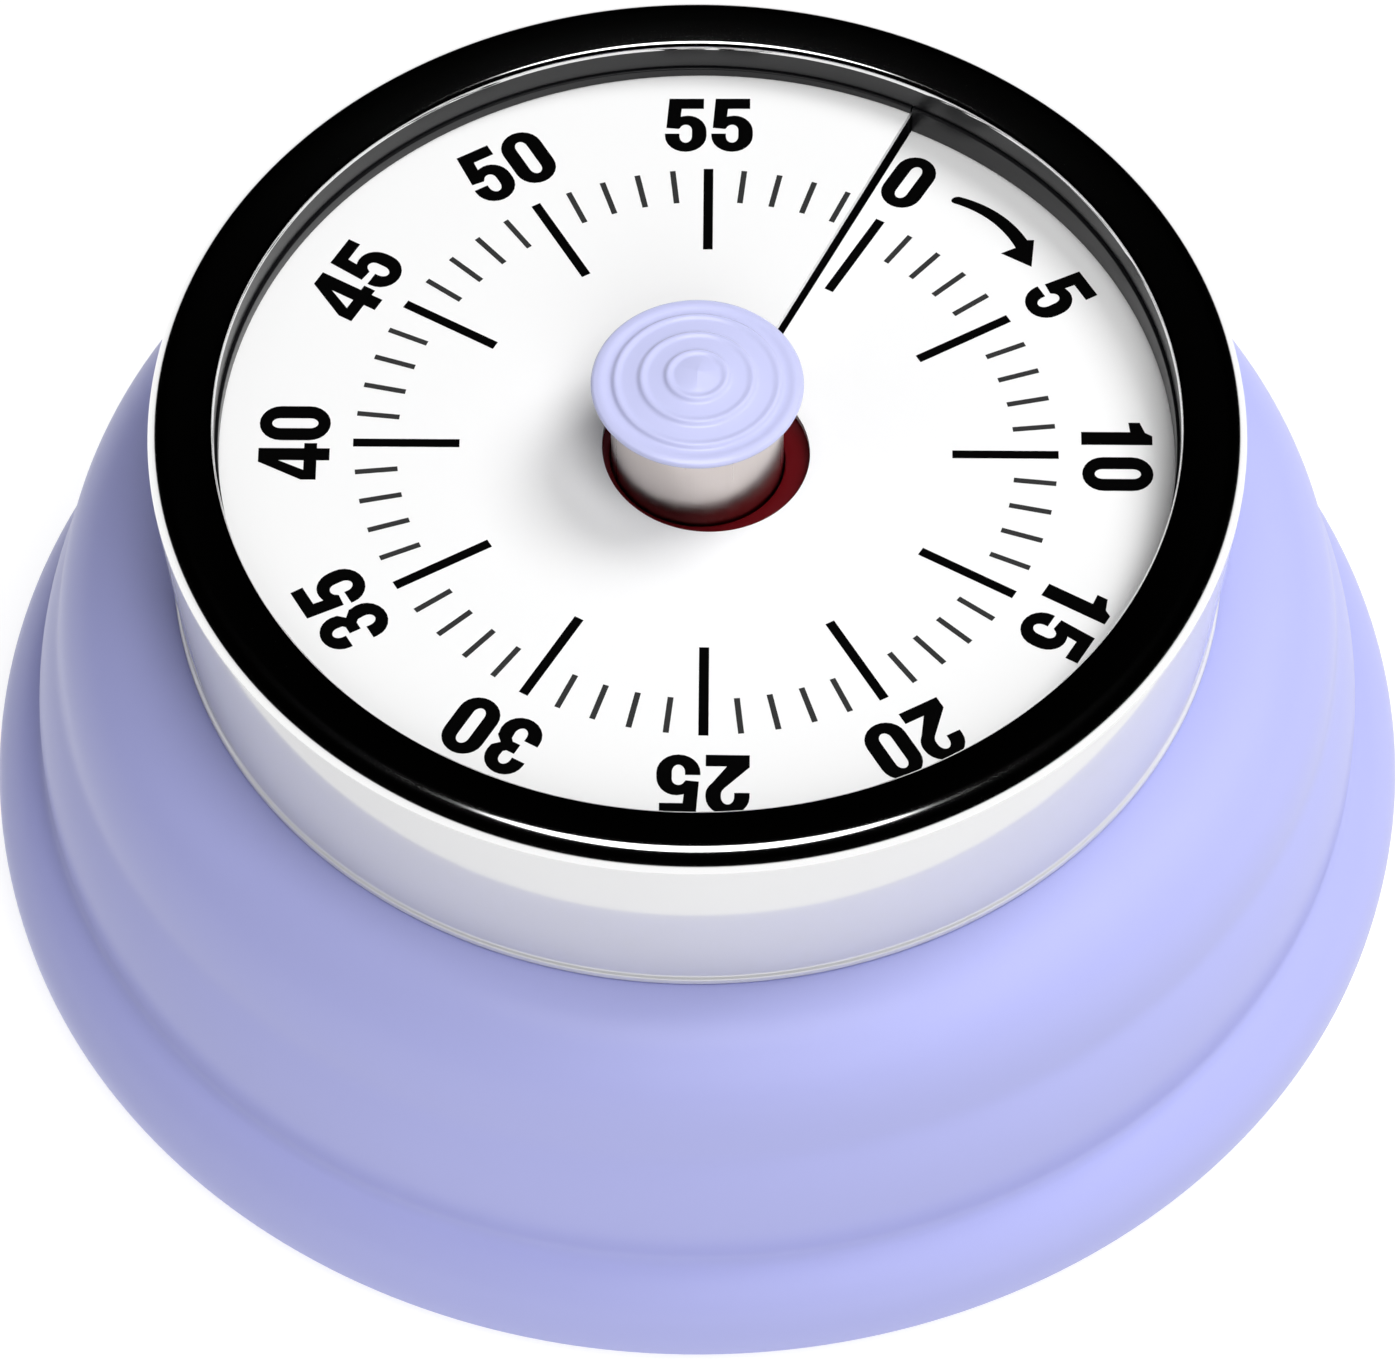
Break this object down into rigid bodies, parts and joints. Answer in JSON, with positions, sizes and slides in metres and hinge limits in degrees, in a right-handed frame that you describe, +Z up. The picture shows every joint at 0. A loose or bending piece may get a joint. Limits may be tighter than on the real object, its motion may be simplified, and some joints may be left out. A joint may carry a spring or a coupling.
{
  "type": "kitchen timer",
  "caption": "Round mechanical kitchen timer: rippled conical housing, metal bezel, spiral white dial with a red indicator disc, winding knob, clockwork, bell and magnet.",
  "frame": {"origin": "centre of the underside, on the surface the timer stands on", "axes": "+Z up through the knob, +Y towards the dial's 0 mark"},
  "size_m": [0.0702, 0.0702, 0.032],
  "materials": {
    "lavender_paint": "gloss",
    "polished_steel": "polished",
    "brushed_steel": "satin",
    "brass": "satin",
    "black_plastic": "matte",
    "dial_white": "matte",
    "indicator_red": "matte",
    "rubber": "matte",
    "ferrite": "matte"
  },
  "bodies": {
    "case": {"housing": "lavender_paint", "bezel": "polished_steel", "magnet_cup": "brushed_steel", "magnet_rivet": "brushed_steel", "hairspring": "brushed_steel", "mainspring": "brushed_steel", "bell_post": "brushed_steel", "cover_screw_1": "brushed_steel", "cover_screw_2": "brushed_steel", "cover_screw_3": "brushed_steel", "movement_screw_1": "brushed_steel", "movement_screw_2": "brushed_steel", "movement_screw_3": "brushed_steel", "spring_barrel": "brass", "rear_plate": "brass", "front_plate": "brass", "bell": "brass", "bell_nut": "brass", "pillar_1": "brass", "pillar_2": "brass", "pillar_3": "brass", "spacer_1": "brass", "spacer_2": "brass", "spacer_3": "brass", "cover_post_1": "brass", "cover_post_2": "brass", "cover_post_3": "brass", "dial_frame": "black_plastic", "dial_retainer": "black_plastic", "back_cover": "black_plastic", "dial": "dial_white", "foot_ring": "rubber", "magnet": "ferrite"},
    "knob": {"knob_cap": "lavender_paint", "knob_stem": "brushed_steel", "main_arbor": "brushed_steel", "great_wheel": "brass", "ratchet_wheel": "brushed_steel", "click_rivet": "brushed_steel", "alarm_cam": "brass"},
    "click": {"click": "brushed_steel"},
    "indicator": {"indicator_disc": "indicator_red"},
    "second_arbor": {"second_pinion": "brushed_steel", "second_wheel": "brass"},
    "third_arbor": {"third_pinion": "brushed_steel", "third_wheel": "brass"},
    "escape_arbor": {"escape_pinion": "brushed_steel", "escape_wheel": "brass"},
    "pallet": {"pallet_lever": "brushed_steel", "pallet_staff": "brushed_steel"},
    "balance": {"balance_wheel": "brass", "balance_staff": "brushed_steel"},
    "hammer_set": {"hammer": "brushed_steel", "hammer_lever": "brushed_steel", "hammer_arbor": "brushed_steel"}
  },
  "joints": [
    {"name": "knob_turn", "type": "hinge", "parent": "case", "child": "knob", "pos_m": [0, 0, 0.02], "axis": [0, 0, -1], "range_deg": [0, 360], "deforming": ["mainspring"]},
    {"name": "disc_rise", "type": "slide", "parent": "knob", "child": "indicator", "axis": [0, 0, 1], "range_m": [0, 0.00126]},
    {"name": "second_turn", "type": "hinge", "parent": "case", "child": "second_arbor", "pos_m": [-0.01184, -0.00431, 0.014], "axis": [0, 0, -1], "range_deg": [-2161, 0]},
    {"name": "third_turn", "type": "hinge", "parent": "case", "child": "third_arbor", "pos_m": [-0.00804, -0.0097, 0.014], "axis": [0, 0, -1], "range_deg": [0, 10801]},
    {"name": "escape_turn", "type": "hinge", "parent": "case", "child": "escape_arbor", "pos_m": [-0.00422, -0.01293, 0.014], "axis": [0, 0, -1], "range_deg": [-43201, 0]},
    {"name": "pallet_swing", "type": "hinge", "parent": "case", "child": "pallet", "pos_m": [-0.00011, -0.0142, 0.014], "axis": [0, 0, 1], "range_deg": [-7, 7]},
    {"name": "balance_swing", "type": "hinge", "parent": "case", "child": "balance", "pos_m": [0.00507, -0.01369, 0.014], "axis": [0, 0, 1], "range_deg": [-120, 120], "stiffness_Nm_per_rad": 0.0000005, "deforming": ["hairspring"]},
    {"name": "hammer_swing", "type": "hinge", "parent": "case", "child": "hammer_set", "pos_m": [-0.00409, 0.01526, 0.014], "axis": [0, 0, 1], "range_deg": [-3.5, 12]},
    {"name": "click_lift", "type": "hinge", "parent": "knob", "child": "click", "pos_m": [0.00502, 0.00364, 0.011], "axis": [0, 0, -1], "range_deg": [0, 8], "stiffness_Nm_per_rad": 0.000001}
  ],
  "couplings": [
    {"joint": "disc_rise", "follows": "knob_turn", "m_per_rad": 0.00019894},
    {"joint": "second_turn", "follows": "knob_turn", "ratio": -6},
    {"joint": "third_turn", "follows": "knob_turn", "ratio": 30},
    {"joint": "escape_turn", "follows": "knob_turn", "ratio": -120}
  ]
}
